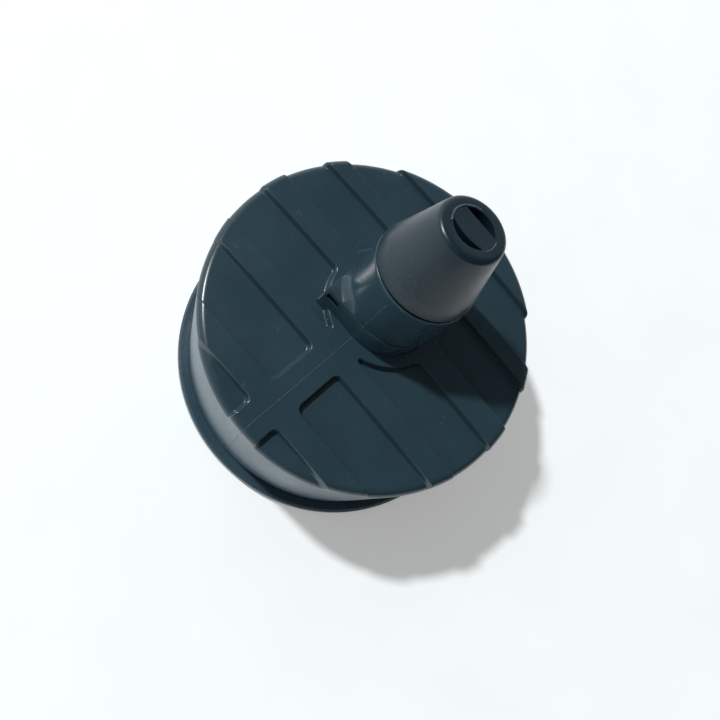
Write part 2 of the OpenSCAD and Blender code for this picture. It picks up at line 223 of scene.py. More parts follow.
# %% Daylight
world = bpy.data.worlds.new("daylight")
world.use_nodes = True
bpy.context.scene.world = world
bpy.context.scene.view_settings.view_transform = "Standard"
sky = world.node_tree
facing = add(sky, "ShaderNodeTexCoord").outputs["Generated"]
split = add(sky, "ShaderNodeSeparateXYZ", Vector=facing)
toward_left = add(sky, MATHS, {"operation": "MULTIPLY_ADD"}, _0=split.outputs["X"], _1=-0.5, _2=0.5)
walls = add(sky, RAMP, stops=((0.25, grey(0.06)), (0.95, grey(0.85))), Fac=toward_left.outputs[0])
overhead = add(sky, RAMP, stops=((0.45, grey(0)), (0.8, grey(1))), Fac=split.outputs["Z"])
room = add(sky, MIX, {"data_type": "RGBA"}, _0=overhead.outputs["Color"], _6=walls.outputs["Color"],
           _7=linear("#596165")).outputs[2]
sky.links.new(room, sky.nodes["Background"].inputs["Color"])
sky.nodes["Background"].inputs["Strength"].default_value = 1.0
print("world:", world.name)

# %% [markdown]
# ## One soft lamp
# One lamp high on the left gives the shadow its side and the rim its bright edge. It is
# small for its distance, so the glints stay short, and far enough away to light the table
# evenly. With the daylight it comes to a plain level: a white sheet renders as white.

# %% Lamp
def soft_lamp(name, direction, distance, size, watts):
    lamp = bpy.data.lights.new(name, "AREA")
    lamp.shape = "DISK"
    lamp.size = size
    lamp.energy = watts
    holder = bpy.data.objects.new(name, lamp)
    toward = Vector(direction).normalized()
    holder.location = toward * distance
    holder.rotation_euler = toward.to_track_quat("Z", "Y").to_euler()
    bpy.context.scene.collection.objects.link(holder)
    return holder


key = soft_lamp("key lamp", direction=(-0.60, -0.10, 0.79), distance=1.5, size=0.10, watts=15.2)
print("lamp:", key.name, key.data.energy, "W")

# %% [markdown]
# ## What handling leaves
# A cap that lives behind a bar gets hair scratches and specks of dust. A scratch is the
# thin line along which a stretched noise crosses its middle value, kept only here and
# there. A speck is the middle of a Voronoi cell, kept in few cells. Both are drawn a
# little larger than life, so that they still show.

# %% Marks of handling
def handling_marks(tree, at, mottle):
    stretched = add(tree, "ShaderNodeMapping", Vector=at, Rotation=(0.2, 0.3, 0.9), Scale=(1.0, 0.16, 0.4))
    wander = add(tree, NOISE, Vector=stretched.outputs[0], Scale=1 / (2.6 * MM), Detail=0.0)
    off_middle = add(tree, MATHS, {"operation": "SUBTRACT"}, _0=wander.outputs["Fac"], _1=0.5)
    away = add(tree, MATHS, {"operation": "ABSOLUTE"}, _0=off_middle.outputs[0])
    line = add(tree, RAMP, stops=((0.0, grey(1)), (0.006, grey(0))), Fac=away.outputs[0])
    where = add(tree, RAMP, stops=((0.60, grey(0)), (0.68, grey(1))), Fac=mottle)
    scratch = add(tree, MATHS, {"operation": "MULTIPLY"}, _0=line.outputs[0], _1=where.outputs[0])

    cells = add(tree, CELLS, {"feature": "F1"}, Vector=at, Scale=1 / (1.5 * MM), Randomness=1.0)
    spot = add(tree, RAMP, stops=((0.03, grey(1)), (0.06, grey(0))), Fac=cells.outputs["Distance"])
    pick = add(tree, NOISE, Vector=at, Scale=1 / (2.3 * MM), Detail=0.0)
    few = add(tree, RAMP, stops=((0.64, grey(0)), (0.70, grey(1))), Fac=pick.outputs["Fac"])
    speck = add(tree, MATHS, {"operation": "MULTIPLY"}, _0=spot.outputs[0], _1=few.outputs[0])
    return scratch.outputs[0], speck.outputs[0]


print("scratches wander over 2.6 mm, specks lie in cells of 1.5 mm")

# %% [markdown]
# ## The drum's blasted wall, painted paler
# The drum's wall came off a part of the tool that was blasted coarser than the face. It is
# matter, with short shallow pits. Its colour is painted paler and bluer than the face: a
# painted reflection of the white table, which the upright wall sees. The pits are a noise
# that is squeezed on its way up the wall. The pits and the painted pale tone start a little
# below the rim, and on the flange they are weak.

# %% Blasted wall, painted paler
def blasted_wall_painted_pale(tree, at, tone, gloss, height):
    up = add(tree, "ShaderNodeSeparateXYZ", Vector=at).outputs["Z"]
    below_rim = add(tree, RANGE, Value=up, From_Min=18.7 * MM, From_Max=17.7 * MM, To_Min=0.0, To_Max=1.0)
    off_flange = add(tree, RANGE, Value=up, From_Min=1.5 * MM, From_Max=1.8 * MM, To_Min=0.35, To_Max=1.0)
    on_wall = add(tree, MATHS, {"operation": "MULTIPLY"}, _0=below_rim.outputs[0],
                  _1=off_flange.outputs[0]).outputs[0]
    squeezed = add(tree, "ShaderNodeMapping", Vector=at, Scale=(1.0, 1.0, 0.35))
    pits = add(tree, NOISE, Vector=squeezed.outputs[0], Scale=1 / (0.24 * MM), Detail=2.0).outputs["Fac"]
    # Painted reflection: the pale blue-grey tones stand in for light the wall takes from the white table,
    # and the darker stop marks the pits
    pits_on_painted_pale_wall = add(tree, RAMP, stops=((0.30, linear("#2e404c")), (0.42, linear("#435b6a"))), Fac=pits)
    tone = add(tree, MIX, {"data_type": "RGBA"}, _0=on_wall, _6=tone, _7=pits_on_painted_pale_wall.outputs[0]).outputs[2]
    sunk = add(tree, RAMP, stops=((0.30, grey(0)), (0.42, grey(1))), Fac=pits)
    deep = add(tree, MATHS, {"operation": "MULTIPLY"}, _0=on_wall, _1=sunk.outputs[0])
    height = add(tree, MATHS, {"operation": "MULTIPLY_ADD"}, _0=deep.outputs[0], _1=3.0, _2=height)
    gloss = add(tree, MATHS, {"operation": "MULTIPLY_ADD"}, _0=on_wall, _1=0.10, _2=gloss)
    return tone, gloss.outputs[0], height.outputs[0]


print("the wall's pits are 0.24 mm wide")

# %% [markdown]
# ## The nozzle's spark-eroded grain
# The nozzle's tool was burnt by sparks, which leaves round pits, rougher near the cone's
# rim than at its tip. How far up the leaning cone a spot lies is its distance along the
# nozzle's axis, so the grain is faded by that. The pits are drawn coarser than the few
# hundredths of a millimetre they are, so that they show.

# %% Spark-eroded grain
def spark_eroded(tree, at, grain, tone, height):
    axis = (0, math.sin(TILT), math.cos(TILT))
    along = add(tree, "ShaderNodeVectorMath", {"operation": "DOT_PRODUCT"}, _0=at, _1=axis).outputs["Value"]
    rim_at = (NOZZLE_Y * axis[1] + NOZZLE_Z * axis[2]) * MM
    near_rim = add(tree, RANGE, Value=along, From_Min=rim_at + 0.2 * MM, From_Max=rim_at + 5.5 * MM,
                   To_Min=1.0, To_Max=0.18).outputs[0]
    height = add(tree, MATHS, {"operation": "MULTIPLY"}, _0=height, _1=near_rim)
    pits = add(tree, RAMP, stops=((0.40, grey(0.45)), (0.62, grey(1.35))), Fac=grain)
    burnt = add(tree, MATHS, {"operation": "MULTIPLY"}, _0=near_rim, _1=0.8)
    tone = add(tree, MIX, {"data_type": "RGBA", "blend_type": "MULTIPLY"}, _0=burnt.outputs[0],
               _6=tone, _7=pits.outputs[0])
    return tone.outputs[2], height.outputs[0]


print("the grain fades from the rim to 5.5 mm above it")

# %% [markdown]
# ## Moulded plastic
# The cap is injection-moulded, most likely polypropylene with a charcoal pigment. Such a
# skin is satin: its fine grain scatters a little light, and its gloss changes slowly
# where the melt cooled. Colour, gloss and height each start from noises of a real size,
# and the marks of handling lie on top. The same recipe serves every moulded piece.

# %% Moulded plastic
def coat(tree, tone, gloss, height, depth_mm, **shader):
    bump = add(tree, "ShaderNodeBump", Height=height, Strength=1.0, Distance=depth_mm * MM)
    skin = add(tree, "ShaderNodeBsdfPrincipled", Base_Color=tone, Roughness=gloss, Normal=bump.outputs[0],
               **shader)
    add(tree, "ShaderNodeOutputMaterial", Surface=skin.outputs[0])


def moulded(name, colour, worn, roughness, grain_mm, depth_mm, dust, walled=False, eroded=False):
    material, tree = new_material(name)
    at = add(tree, "ShaderNodeTexCoord").outputs["Object"]
    grain = add(tree, NOISE, Vector=at, Scale=1 / (grain_mm * MM), Detail=2.0, Roughness=0.6).outputs["Fac"]
    cloud = add(tree, NOISE, Vector=at, Scale=1 / (9 * MM), Detail=3.0, Roughness=0.55).outputs["Fac"]
    mottle = add(tree, NOISE, Vector=at, Scale=1 / (1.1 * MM), Detail=4.0, Roughness=0.6).outputs["Fac"]
    scratch, speck = handling_marks(tree, at, mottle)

    pigment = add(tree, RAMP, stops=((0.3, linear(colour)), (0.75, linear(worn))), Fac=cloud)
    shade = add(tree, RAMP, stops=((0.3, grey(0.75)), (0.7, grey(1.2))), Fac=grain)
    tone = add(tree, MIX, {"data_type": "RGBA", "blend_type": "MULTIPLY"}, _0=0.35,
               _6=pigment.outputs[0], _7=shade.outputs[0])
    light = add(tree, MATHS, {"operation": "MAXIMUM"}, _0=scratch, _1=speck)
    dusted = add(tree, MATHS, {"operation": "MULTIPLY"}, _0=light.outputs[0], _1=dust)
    tone = add(tree, MIX, {"data_type": "RGBA"}, _0=dusted.outputs[0], _6=tone.outputs[2],
               _7=linear("#9aa3a8")).outputs[2]

    shine = add(tree, RAMP, stops=((0.25, grey(roughness - 0.05)), (0.8, grey(roughness + 0.06))), Fac=cloud)
    gloss = add(tree, MATHS, {"operation": "MULTIPLY_ADD"}, _0=mottle, _1=0.10,
                _2=shine.outputs[0]).outputs[0]
    height = add(tree, MATHS, {"operation": "ADD"}, _0=grain, _1=scratch).outputs[0]
    if walled:
        tone, gloss, height = blasted_wall_painted_pale(tree, at, tone, gloss, height)
    if eroded:
        tone, height = spark_eroded(tree, at, grain, tone, height)
    coat(tree, tone, gloss, height, depth_mm, IOR=1.5)
    return material


# The cap: satin, with clear soft glints, and a wall with pits whose paler tone is a painted reflection of
# the white table
cap_plastic = moulded("satin charcoal polypropylene", CHARCOAL, CHARCOAL_WORN, 0.19,
                      grain_mm=0.16, depth_mm=0.004, dust=0.22, walled=True)
# The nozzle: broader and duller glints, with a grain the eye can see near the rim
nozzle_plastic = moulded("spark-eroded charcoal polypropylene", "#0f2531", "#142d3a", 0.27,
                         grain_mm=0.24, depth_mm=0.018, dust=0.2, eroded=True)
# The pieces inside: acetal, black and smooth with a waxy shine
inner_plastic = moulded("inner black acetal", "#20282d", "#283238", 0.40,
                        grain_mm=0.2, depth_mm=0.006, dust=0.2)
# Flash: thin stretched plastic, paler than the rest and rubbed bright
flash_plastic = moulded("burnished flash", "#44545e", "#586973", 0.30,
                        grain_mm=0.3, depth_mm=0.004, dust=0.1)
print("plastics:", cap_plastic.name, "/", nozzle_plastic.name)

# %% [markdown]
# ## Rubber
# The sleeve and the gasket are moulded silicone or thermoplastic rubber, matt and
# slightly powdery. The sealing rings are nitrile, a little shinier from their grease. A
# slow noise gives the powdery bloom and a fine one the pits.

# %% Rubber
def rubber(name, colour, bloom, roughness):
    material, tree = new_material(name)
    at = add(tree, "ShaderNodeTexCoord").outputs["Object"]
    powder = add(tree, NOISE, Vector=at, Scale=1 / (3 * MM), Detail=5.0, Roughness=0.65).outputs["Fac"]
    pits = add(tree, NOISE, Vector=at, Scale=1 / (0.15 * MM), Detail=2.0).outputs["Fac"]
    tone = add(tree, RAMP, stops=((0.35, linear(colour)), (0.75, linear(bloom))), Fac=powder)
    gloss = add(tree, RAMP, stops=((0.3, grey(roughness - 0.08)), (0.8, grey(roughness + 0.08))), Fac=powder)
    coat(tree, tone.outputs[0], gloss.outputs[0], pits, 0.008, IOR=1.52)
    return material


sleeve_rubber = rubber("matt moulded rubber", "#1c2226", "#2a3136", 0.62)
ring_rubber = rubber("greased nitrile rubber", "#121517", "#1c2022", 0.38)
print("rubbers:", sleeve_rubber.name, "/", ring_rubber.name)

# %% [markdown]
# ## Steel
# The band, the clip and the strainer are stamped from strip that was rolled, so fine
# lines run along it and stretch its glints. The ball is ground and polished: the same
# recipe without a direction, and shinier. The metal keeps the default IOR.

# %% Steel
def rolled_steel(name, colour, roughness, along):
    material, tree = new_material(name)
    at = add(tree, "ShaderNodeTexCoord").outputs["Object"]
    stretched = add(tree, "ShaderNodeMapping", Vector=at, Scale=along)
    lines = add(tree, NOISE, Vector=stretched.outputs[0], Scale=1 / (0.2 * MM), Detail=3.0).outputs["Fac"]
    smear = add(tree, NOISE, Vector=at, Scale=1 / (2.5 * MM), Detail=4.0).outputs["Fac"]
    tone = add(tree, RAMP, stops=((0.3, linear(colour)), (0.7, linear("#c3c7c9"))), Fac=lines)
    gloss = add(tree, RAMP, stops=((0.3, grey(roughness - 0.06)), (0.8, grey(roughness + 0.1))), Fac=smear)
    coat(tree, tone.outputs[0], gloss.outputs[0], lines, 0.003, Metallic=1.0)
    return material


strip_steel = rolled_steel("rolled spring steel", "#8b9094", 0.32, (0.15, 0.15, 1.0))
ball_steel = rolled_steel("polished ball steel", "#b4b9bc", 0.14, (1.0, 1.0, 1.0))
print("steels:", strip_steel.name, "/", ball_steel.name)

# %% [markdown]
# ## Filter fibre
# The plug in the air duct is felted fibre, pressed to shape. It looks matt and woolly:
# pale threads with dark gaps. The borders between Voronoi cells make the threads.

# %% Filter fibre
def pressed_fibre(name, colour, light):
    material, tree = new_material(name)
    at = add(tree, "ShaderNodeTexCoord").outputs["Object"]
    threads = add(tree, CELLS, {"feature": "DISTANCE_TO_EDGE"}, Vector=at,
                  Scale=1 / (0.2 * MM)).outputs["Distance"]
    tone = add(tree, RAMP, stops=((0.02, linear(light)), (0.25, linear(colour))), Fac=threads)
    coat(tree, tone.outputs[0], 0.9, threads, 0.04, IOR=1.45)
    return material


filter_fibre = pressed_fibre("pressed filter fibre", "#5d6466", "#8a9193")
print("fibre:", filter_fibre.name)

# %% [markdown]
# ## Finishes for the frame's own pieces
# Most pieces inside the cap are shown as the frame brings them, and only need their
# finish. Their meshes stay as they are: only the material slot is filled.

# %% Give each piece of the frame its finish
FINISHES = {
    "base_ring": cap_plastic, "neck_sleeve": sleeve_rubber, "grip_band": strip_steel,
    "mouth_gasket": sleeve_rubber, "core_plate": inner_plastic, "plate_oring": ring_rubber,
    "strainer_disc": strip_steel, "strainer_ring": inner_plastic, "breather_stub": inner_plastic,
    "valve_cage": inner_plastic, "valve_ball": ball_steel, "duct_filter": filter_fibre,
    "stem_oring_low": ring_rubber, "stem_oring_high": ring_rubber, "nozzle_cone": nozzle_plastic,
    "nozzle_oring": ring_rubber, "nozzle_clip": strip_steel, "head_shell": cap_plastic,
}
for node_name, finish in FINISHES.items():
    node_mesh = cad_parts[node_name].data
    node_mesh.materials.clear()
    node_mesh.materials.append(finish)
print("finishes given:", len(FINISHES))

# %% [markdown]
# ## From bmesh to a piece
# Every new piece ends the same way: its mesh is scaled from millimetres to metres, its
# normals are set outwards, its sharp corners are marked by angle, and it is tied to the
# body it moves with. A piece that stands in for one of the frame's own names it.

# %% Piece helper
def tie(name, mesh, body):
    piece = bpy.data.objects.new(name, mesh)
    bpy.context.scene.collection.objects.link(piece)
    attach(piece, body)
    return piece


def finish_piece(bm, name, body, finish, replaces=(), corner=32):
    bmesh.ops.remove_doubles(bm, verts=bm.verts, dist=0.001)
    bmesh.ops.recalc_face_normals(bm, faces=bm.faces)
    bmesh.ops.scale(bm, vec=(MM, MM, MM), verts=bm.verts)
    mesh = bpy.data.meshes.new(name)
    bm.to_mesh(mesh)
    bm.free()
    mesh.shade_smooth()
    mesh.set_sharp_from_angle(angle=math.radians(corner))
    mesh.materials.append(finish)
    piece = tie(name, mesh, body)
    if replaces:
        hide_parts(*replaces)
    print(name, "has", len(mesh.polygons), "faces")
    return piece


# %% [markdown]
# ## The ribbed face
# The face is a shallow dome with recessed pockets. Between the pockets stand a spine and
# five cross ribs, and round the nozzle a collar. All of that is one height for each spot
# of the face: the dome, plus a rib's height wherever no pocket reaches. A pocket is a
# rectangle with round corners, mirrored across the spine, and its depth inside is a
# distance, which gives its sides an even slope.

# %% Height of the face
def smooth(t):
    t = min(max(t, 0.0), 1.0)
    return t * t * (3 - 2 * t)


def into_pocket(x, y, start, end):
    across = SPINE_HALF + CORNER_R - abs(x)
    along = abs(y - (start + end) / 2) - (end - start) / 2 + CORNER_R
    outside = math.hypot(max(across, 0), max(along, 0)) + min(max(across, along), 0) - CORNER_R
    return -outside


def raised(x, y):
    off_collar = math.hypot(x, y - CREASE_Y) - COLLAR_R
    depth = max(into_pocket(x, y, *pocket) for pocket in POCKETS)
    if depth < BLEND_R and off_collar < BLEND_R:
        inside = BLEND_R - math.hypot(BLEND_R - depth, BLEND_R - off_collar)
    else:
        inside = min(depth, off_collar)
    return 1 - smooth(inside / WALL_RUN)


def dome(x, y):
    return RIM_Z + DOME_RISE - DOME_R + math.sqrt(DOME_R ** 2 - x * x - y * y)


print("face at its centre is", round(dome(0, 0) + RIB_H, 2), "mm high")

# %% [markdown]
# ## Rows along the ribs, columns along the spine
# A flat grid is the best start for the face, because its rows can be laid exactly along
# the ribs' edges: the edges then stay crisp where a round grid would fray. Rows stand
# close on every sloping side, where the collar cuts into the two pockets beside the
# nozzle, and where the spine's edges run out over the rim. Columns do the same across.

# %% Rows and columns
# Columns run straight out to this far from the spine's middle
STRAIGHT_X = 3.2
# Where rows lie on a sloping side, in shares of its width, and past it, in millimetres
ON_SLOPE = (-0.12, 0, 0.12, 0.28, 0.5, 0.72, 0.88, 1, 1.12)
PAST_SLOPE = (0.46, 0.54, 0.63, 0.73, 0.84, 0.96)


def spread(start, end, step):
    count = max(1, round((end - start) / step))
    return [start + (end - start) * i / count for i in range(count)]


def face_rows():
    rows = [FACE_R * math.sin(math.radians(a)) for a in spread(-90, 90, 1.2)] + [FACE_R]
    run_out = [math.sqrt(FACE_R ** 2 - x * x) for x in spread(1.86, 2.46, 0.06)]
    rows = [r for r in rows if not run_out[-1] - 0.01 < abs(r) < run_out[0] + 0.01]
    rows += run_out + [-r for r in run_out]
    for start, end in POCKETS:
        for edge, inward in ((start, 1), (end, -1)):
            if abs(edge) < FACE_R:
                near = [edge + inward * WALL_RUN * f for f in ON_SLOPE]
                near += [edge + inward * f for f in PAST_SLOPE]
                rows = [r for r in rows if not min(near) - 0.05 < r < max(near) + 0.05] + near
    for start, end in POCKETS[2:4]:
        first, last = start + 1.0, end - 1.0
        rows = [r for r in rows if not first < r < last] + spread(first, last, 0.1)
    return sorted(rows)


def face_columns():
    half = spread(0, 1.9, 0.38) + spread(1.9, 2.35, 0.05) + spread(2.35, STRAIGHT_X, 0.12)
    half += spread(STRAIGHT_X, 8.5, 0.11) + spread(8.5, FACE_R, 0.6) + [FACE_R]
    return [-c for c in reversed(half[1:])] + half


print("the face has", len(face_rows()), "rows and", len(face_columns()), "columns")

# %% [markdown]
# ## Lay the face
# The grid is drawn in to a disc: near the spine the columns run straight, and further out
# they close up towards the rim. Then each point is lifted to the height of the face.

# %% Lay the face
def column_at(column, y):
    reach = math.sqrt(max(FACE_R ** 2 - y * y, 0))
    side, size = math.copysign(1, column), abs(column)
    core = min(STRAIGHT_X, 0.88 * reach)
    if size <= core:
        return column
    return side * (core + (size - core) * (reach - core) / (FACE_R - core))


def lay_face(bm, rows, columns):
    made = bmesh.ops.create_grid(bm, x_segments=len(columns) - 1, y_segments=len(rows) - 1, size=1.0)
    for v in made["verts"]:
        column = columns[round((v.co.x + 1) / 2 * (len(columns) - 1))]
        y = rows[round((v.co.y + 1) / 2 * (len(rows) - 1))]
        x = column_at(column, y)
        v.co = Vector((x, y, dome(x, y) + RIB_H * raised(x, y)))
    bmesh.ops.remove_doubles(bm, verts=bm.verts, dist=0.004)
    return [e for e in bm.edges if e.is_boundary]


print("a column that starts at 10 mm ends at", round(column_at(10, 15), 2), "mm, 15 mm up the spine")

# %% [markdown]
# ## The drum's edge and wall
# The face's border is now a ring of edges. Extruding that ring step by step rolls it over
# the rounded edge and down the wall, round the foot and up inside. The ribs run out over
# the edge, so each point of the rounding stands as high as the face above it does, and
# only the step below the rounding is level. A point near the ribs keeps its place along
# the spine while the ring grows, so that the ribs' sides stay parallel.

# %% Pull the ring down
def pull_ring(bm, ring, radius, height_of, keep_y=True):
    made = bmesh.ops.extrude_edge_only(bm, edges=ring)["geom"]
    fresh = [g for g in made if isinstance(g, bmesh.types.BMVert)]
    for v in fresh:
        was = math.hypot(v.co.x, v.co.y)
        if keep_y:
            ease = smooth((abs(v.co.y) / was - 0.88) / 0.12)
            y = v.co.y * (1 + (radius / was - 1) * ease)
            x = math.copysign(math.sqrt(max(radius ** 2 - y * y, 0)), v.co.x)
        else:
            x, y = v.co.x * radius / was, v.co.y * radius / was
        v.co = Vector((x, y, height_of(x, y)))
    inside = set(fresh)
    return [g for g in made if isinstance(g, bmesh.types.BMEdge) and set(g.verts) <= inside]


def roll_edge(bm, ring, steps=8):
    edge_z = dome(FACE_R, 0) - EDGE_R
    for step in range(1, steps + 1):
        turn = math.radians(90 * step / steps)
        radius = FACE_R + EDGE_R * math.sin(turn)
        lift = edge_z + EDGE_R * math.cos(turn)
        ring = pull_ring(bm, ring, radius, lambda x, y, z=lift: z + RIB_H * raised(x, y))
    return pull_ring(bm, ring, WALL_R, lambda x, y: edge_z - 0.12)


def drum(bm, ring):
    for part in (0.25, 0.5, 0.75, 1.0):
        radius = WALL_R + (FOOT_R - WALL_R) * part
        height = WALL_TOP + (FOOT_Z + FOOT_BEVEL - WALL_TOP) * part
        ring = pull_ring(bm, ring, radius, lambda x, y, z=height: z)
    for radius, height in ((FOOT_R - FOOT_BEVEL, FOOT_Z), (INSIDE_R, FOOT_Z), (INSIDE_R, LEDGE_Z),
                           (LEDGE_R, LEDGE_Z), (LEDGE_R, CEILING_Z)):
        ring = pull_ring(bm, ring, radius, lambda x, y, z=height: z, keep_y=False)
    bmesh.ops.holes_fill(bm, edges=ring, sides=0)


def make_cap_skin():
    bm = bmesh.new()
    ring = lay_face(bm, face_rows(), face_columns())
    ring = roll_edge(bm, ring)
    drum(bm, ring)
    return finish_piece(bm, "cap_skin", "cap", cap_plastic, ["head_shell"], corner=50)


cap_skin = make_cap_skin()

# %% [markdown]
# ## Turned shapes
# The tube, the nozzle and the tool that bores them are all round about one axis. Each is
# half a section, given as radius and height, that is spun a full turn. Where the section
# ends on the axis the spin leaves many points on one spot, so doubles are merged. Round
# stretches of a section are arcs.

# %% Turned shapes
def rounded(r, s, radius, start, end, steps=6):
    turns = [math.radians(start + (end - start) * i / steps) for i in range(steps + 1)]
    return [(r + radius * math.cos(t), s + radius * math.sin(t)) for t in turns]


def turned(section, steps=192, closed=False):
    bm = bmesh.new()
    points = [bm.verts.new((r, 0, s)) for r, s in section]
    edges = [bm.edges.new(pair) for pair in zip(points, points[1:])]
    if closed:
        edges.append(bm.edges.new((points[-1], points[0])))
    bmesh.ops.spin(bm, geom=points + edges, cent=(0, 0, 0), axis=(0, 0, 1), angle=math.tau,
                   steps=steps, use_merge=True)
    bmesh.ops.remove_doubles(bm, verts=bm.verts, dist=0.0005)
    return bm


print("a quarter round is", len(rounded(0, 0, 1, 0, 90)), "points")

# %% [markdown]
# ## The plinth
# Under the nozzle stands a short upright plinth. It is round, but its left front corner
# is square, because the air duct runs down inside that corner. A circle's points are
# pushed out to a square in that quarter only, and the ring is pulled up through a fillet
# at the foot, a drafted wall and a soft top edge. Its top leans with the nozzle.

# %% Plinth
def corner_reach(x, y):
    if x < 0 and y < 0:
        return (abs(x) ** 40 + abs(y) ** 40) ** (-1 / 40)
    return 1.0


def crease_at(y):
    return CREASE_Z - (y - CREASE_Y) * math.tan(TILT)


# How far out each ring stands, and how high it is above the rim or above the crease
FOOT_RINGS = ((0.45, 0.1), (0.32, 0.75), (0.24, 0.95), (0.2, 1.3))
TOP_RINGS = ((0.04, -0.1), (0.01, -0.03), (-0.08, 0.0))


def raise_ring(bm, ring, rays, out, height_of):
    made = bmesh.ops.extrude_edge_only(bm, edges=ring)["geom"]
    fresh = [g for g in made if isinstance(g, bmesh.types.BMVert)]
    came_from = {v: next(e.other_vert(v) for e in v.link_edges if e.other_vert(v) in rays) for v in fresh}
    rays.update({v: rays[old] for v, old in came_from.items()})
    for v in fresh:
        place = rays[v] * (PLINTH_R + out)
        y = place.y + CREASE_Y
        v.co = Vector((place.x, y, height_of(y)))
    inside = set(fresh)
    return [g for g in made if isinstance(g, bmesh.types.BMEdge) and set(g.verts) <= inside]


def make_plinth():
    bm = bmesh.new()
    bmesh.ops.create_circle(bm, cap_ends=False, segments=480, radius=1.0)
    rays = {v: v.co.xy * corner_reach(v.co.x, v.co.y) for v in bm.verts}
    for v, ray in rays.items():
        foot = ray * (PLINTH_R + FOOT_RINGS[0][0])
        v.co = Vector((foot.x, foot.y + CREASE_Y, RIM_Z))
    ring = list(bm.edges)
    for out, low in FOOT_RINGS:
        ring = raise_ring(bm, ring, rays, out, lambda y, up=low: RIM_Z + up)
    for out, top in TOP_RINGS:
        ring = raise_ring(bm, ring, rays, out, lambda y, up=top: crease_at(y) + up)
    bmesh.ops.holes_fill(bm, edges=[e for e in bm.edges if e.is_boundary], sides=0)
    return finish_piece(bm, "plinth", "cap", cap_plastic, corner=40)


plinth = make_plinth()

# %% [markdown]
# ## Cutting a hole
# A hole is easiest as a boolean: a second shape is drawn where the hole should be and
# taken away. The exact solver copes with faces that touch. The result is baked into the
# piece at once, so that no cutter is left in the scene.

# %% Cut
def cut(piece, name, bm):
    bmesh.ops.recalc_face_normals(bm, faces=bm.faces)
    bmesh.ops.scale(bm, vec=(MM, MM, MM), verts=bm.verts)
    mesh = bpy.data.meshes.new(name)
    bm.to_mesh(mesh)
    bm.free()
    cutter = bpy.data.objects.new(name, mesh)
    bpy.context.scene.collection.objects.link(cutter)
    boolean = piece.modifiers.new(name, "BOOLEAN")
    boolean.operation = "DIFFERENCE"
    boolean.solver = "EXACT"
    boolean.object = cutter
    seen = bpy.context.evaluated_depsgraph_get()
    result = bpy.data.meshes.new_from_object(piece.evaluated_get(seen))
    piece.modifiers.clear()
    piece.data = result
    bpy.data.objects.remove(cutter)
    print(name, "leaves", len(result.polygons), "faces on", piece.name)


# %% [markdown]
# ## The air slot and the bore
# A slot for the air is cut into the front of the plinth's square corner: a box with
# bevelled edges along its depth. The bore that the nozzle's spigot turns in is a stepped
# round tool on the leaning axis, and it goes through the plinth and the cap's skin alike.

# %% Air slot and bore
SLOT_X, SLOT_W, SLOT_H = -4.6, 1.9, 1.1
SLOT_TOP = CREASE_Z + PLINTH_R * math.sin(TILT) - 0.75


def slot_cutter():
    bm = bmesh.new()
    bmesh.ops.create_cube(bm, size=1.0)
    bmesh.ops.scale(bm, vec=(SLOT_W, 3.0, SLOT_H), verts=bm.verts)
    lengthwise = [e for e in bm.edges if abs((e.verts[0].co - e.verts[1].co).y) > 1]
    bmesh.ops.bevel(bm, geom=lengthwise, offset=0.25, offset_type="OFFSET", segments=4, profile=0.5,
                    affect="EDGES", material=-1, clamp_overlap=True)
    front = CREASE_Y - PLINTH_R
    bmesh.ops.translate(bm, vec=(SLOT_X, front + 0.7, SLOT_TOP - SLOT_H / 2), verts=bm.verts)
    return bm


def bore_cutter(low=-17, high=-1):
    bm = turned([(0, low), (COUNTER_R, low), (COUNTER_R, COUNTER_S), (BORE_R, COUNTER_S),
                 (BORE_R, high), (0, high)], steps=96)
    bmesh.ops.transform(bm, matrix=LEAN, verts=bm.verts)
    return bm


cut(plinth, "air slot", slot_cutter())
for piece in (plinth, cap_skin):
    cut(piece, "nozzle bore", bore_cutter())

# %% [markdown]
# ## The leaning tube
# Above the crease the tube leans away. It is spun from a half section about the leaning
# axis, with a swell and a soft edge under the cone. At its foot it flares, and on the
# left front it flares out to the plinth's square corner: the points there are pushed out
# by what is left of the corner at their height.

# %% Tube
FLARE_H = 1.9
TUBE_TOP, TUBE_ROOT = -0.34, 0.8


def make_tube():
    low, high = -TUBE_H, TUBE_TOP
    section = [(4.6, low - TUBE_ROOT), (5.5, low - TUBE_ROOT), (TUBE_R - 0.12, low - 0.02)]
    section += [(TUBE_R, low + FLARE_H * (i / 14) ** 1.4) for i in range(15)]
    section += [(TUBE_R + 0.02, high - 1.4), (TUBE_R + 0.22, high - 0.5)]
    section += rounded(TUBE_R + 0.11, high - 0.13, 0.13, 0, 90, 5)
    section += [(BORE_R, high), (BORE_R, low - TUBE_ROOT)]
    bm = turned(section, steps=360, closed=True)
    for v in bm.verts:
        size = v.co.xy.length
        up = (v.co.z - low) / FLARE_H
        if size > TUBE_R - 0.05 and up < 1:
            ray = v.co.xy / size
            left = 1 - max(up, 0)
            flare = min((corner_reach(*ray) - 1) * PLINTH_R, 1.0) * left ** 2.6
            v.co.xy = ray * (size + flare - 0.12 * left ** 2)
    bmesh.ops.transform(bm, matrix=LEAN, verts=bm.verts)
    return finish_piece(bm, "boss_tube", "cap", cap_plastic, corner=40)


boss_tube = make_tube()

# %% [markdown]
# ## The nozzle
# The cone is a separate moulding that turns on the tube. Its lower rim is slightly
# rounded and its tip has a soft shoulder. Below, a spigot goes down into the bore, and
# inside, the same pipe stands up a little way into the hollow cone. All of it is one
# section, from the spigot's end up the outside and back down the inside.

